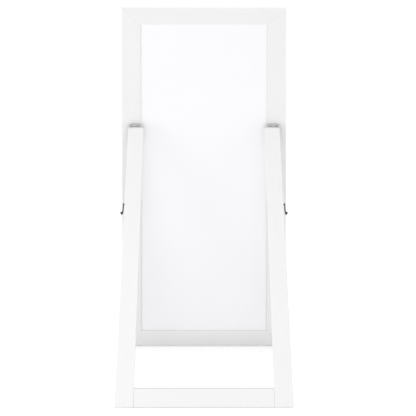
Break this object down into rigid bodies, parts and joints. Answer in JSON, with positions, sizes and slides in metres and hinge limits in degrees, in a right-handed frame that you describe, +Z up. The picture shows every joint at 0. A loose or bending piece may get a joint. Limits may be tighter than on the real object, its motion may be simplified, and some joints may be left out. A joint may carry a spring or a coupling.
{
  "type": "standing mirror",
  "caption": "Free-standing full-length mirror: a glass in a mitred white wooden frame that leans on a hinged folding easel, held by safety chains.",
  "frame": {"origin": "on the floor, at the middle of the object's box", "axes": "+Z up; +X to the right seen from the easel side, which is the side the picture shows; +Y the way the glass faces, away from the easel"},
  "size_m": [0.656, 0.4628, 1.5238],
  "materials": {
    "painted_wood": "white satin paint over fine straight grain",
    "panel_board": "smooth cool-white laminated hardboard",
    "mirror_glass": "silvered float glass with a polished edge",
    "foam": "thin white packing foam",
    "bare_wood": "unfinished beech",
    "plated_steel": "zinc-plated steel",
    "painted_steel": "steel painted over with the frame",
    "dark_steel": "blackened steel",
    "rubber_pad": "matt pale grey rubber",
    "felt_pad": "pale grey felt"
  },
  "bodies": {
    "mirror": {"top_rail": "painted_wood", "bottom_rail": "painted_wood", "left_stile": "painted_wood", "right_stile": "painted_wood", "corner_biscuits": "bare_wood", "panel_pins": "painted_steel", "backing_panel": "panel_board", "foam_sheet": "foam", "mirror_glass": "mirror_glass", "frame_floor_pads": "rubber_pad", "left_frame_hinge_leaf": "plated_steel", "right_frame_hinge_leaf": "plated_steel", "left_hinge_pin": "plated_steel", "right_hinge_pin": "plated_steel", "frame_hinge_screws": "plated_steel", "frame_chain_screws": "dark_steel", "left_stay_chain": "dark_steel", "right_stay_chain": "dark_steel"},
    "easel": {"left_leg": "painted_wood", "right_leg": "painted_wood", "foot_rail": "painted_wood", "foot_rail_dowels": "bare_wood", "leg_floor_pads": "felt_pad", "left_leg_hinge_leaf": "plated_steel", "right_leg_hinge_leaf": "plated_steel", "leg_hinge_screws": "plated_steel", "leg_chain_screws": "dark_steel"}
  },
  "joints": [
    {"name": "easel_fold", "type": "hinge", "parent": "mirror", "child": "easel", "pos_m": [0, 0.09628, 1.00558], "axis": [1, 0, 0], "range_deg": [-1.5, 23], "deforming": ["left_stay_chain", "right_stay_chain"]}
  ]
}
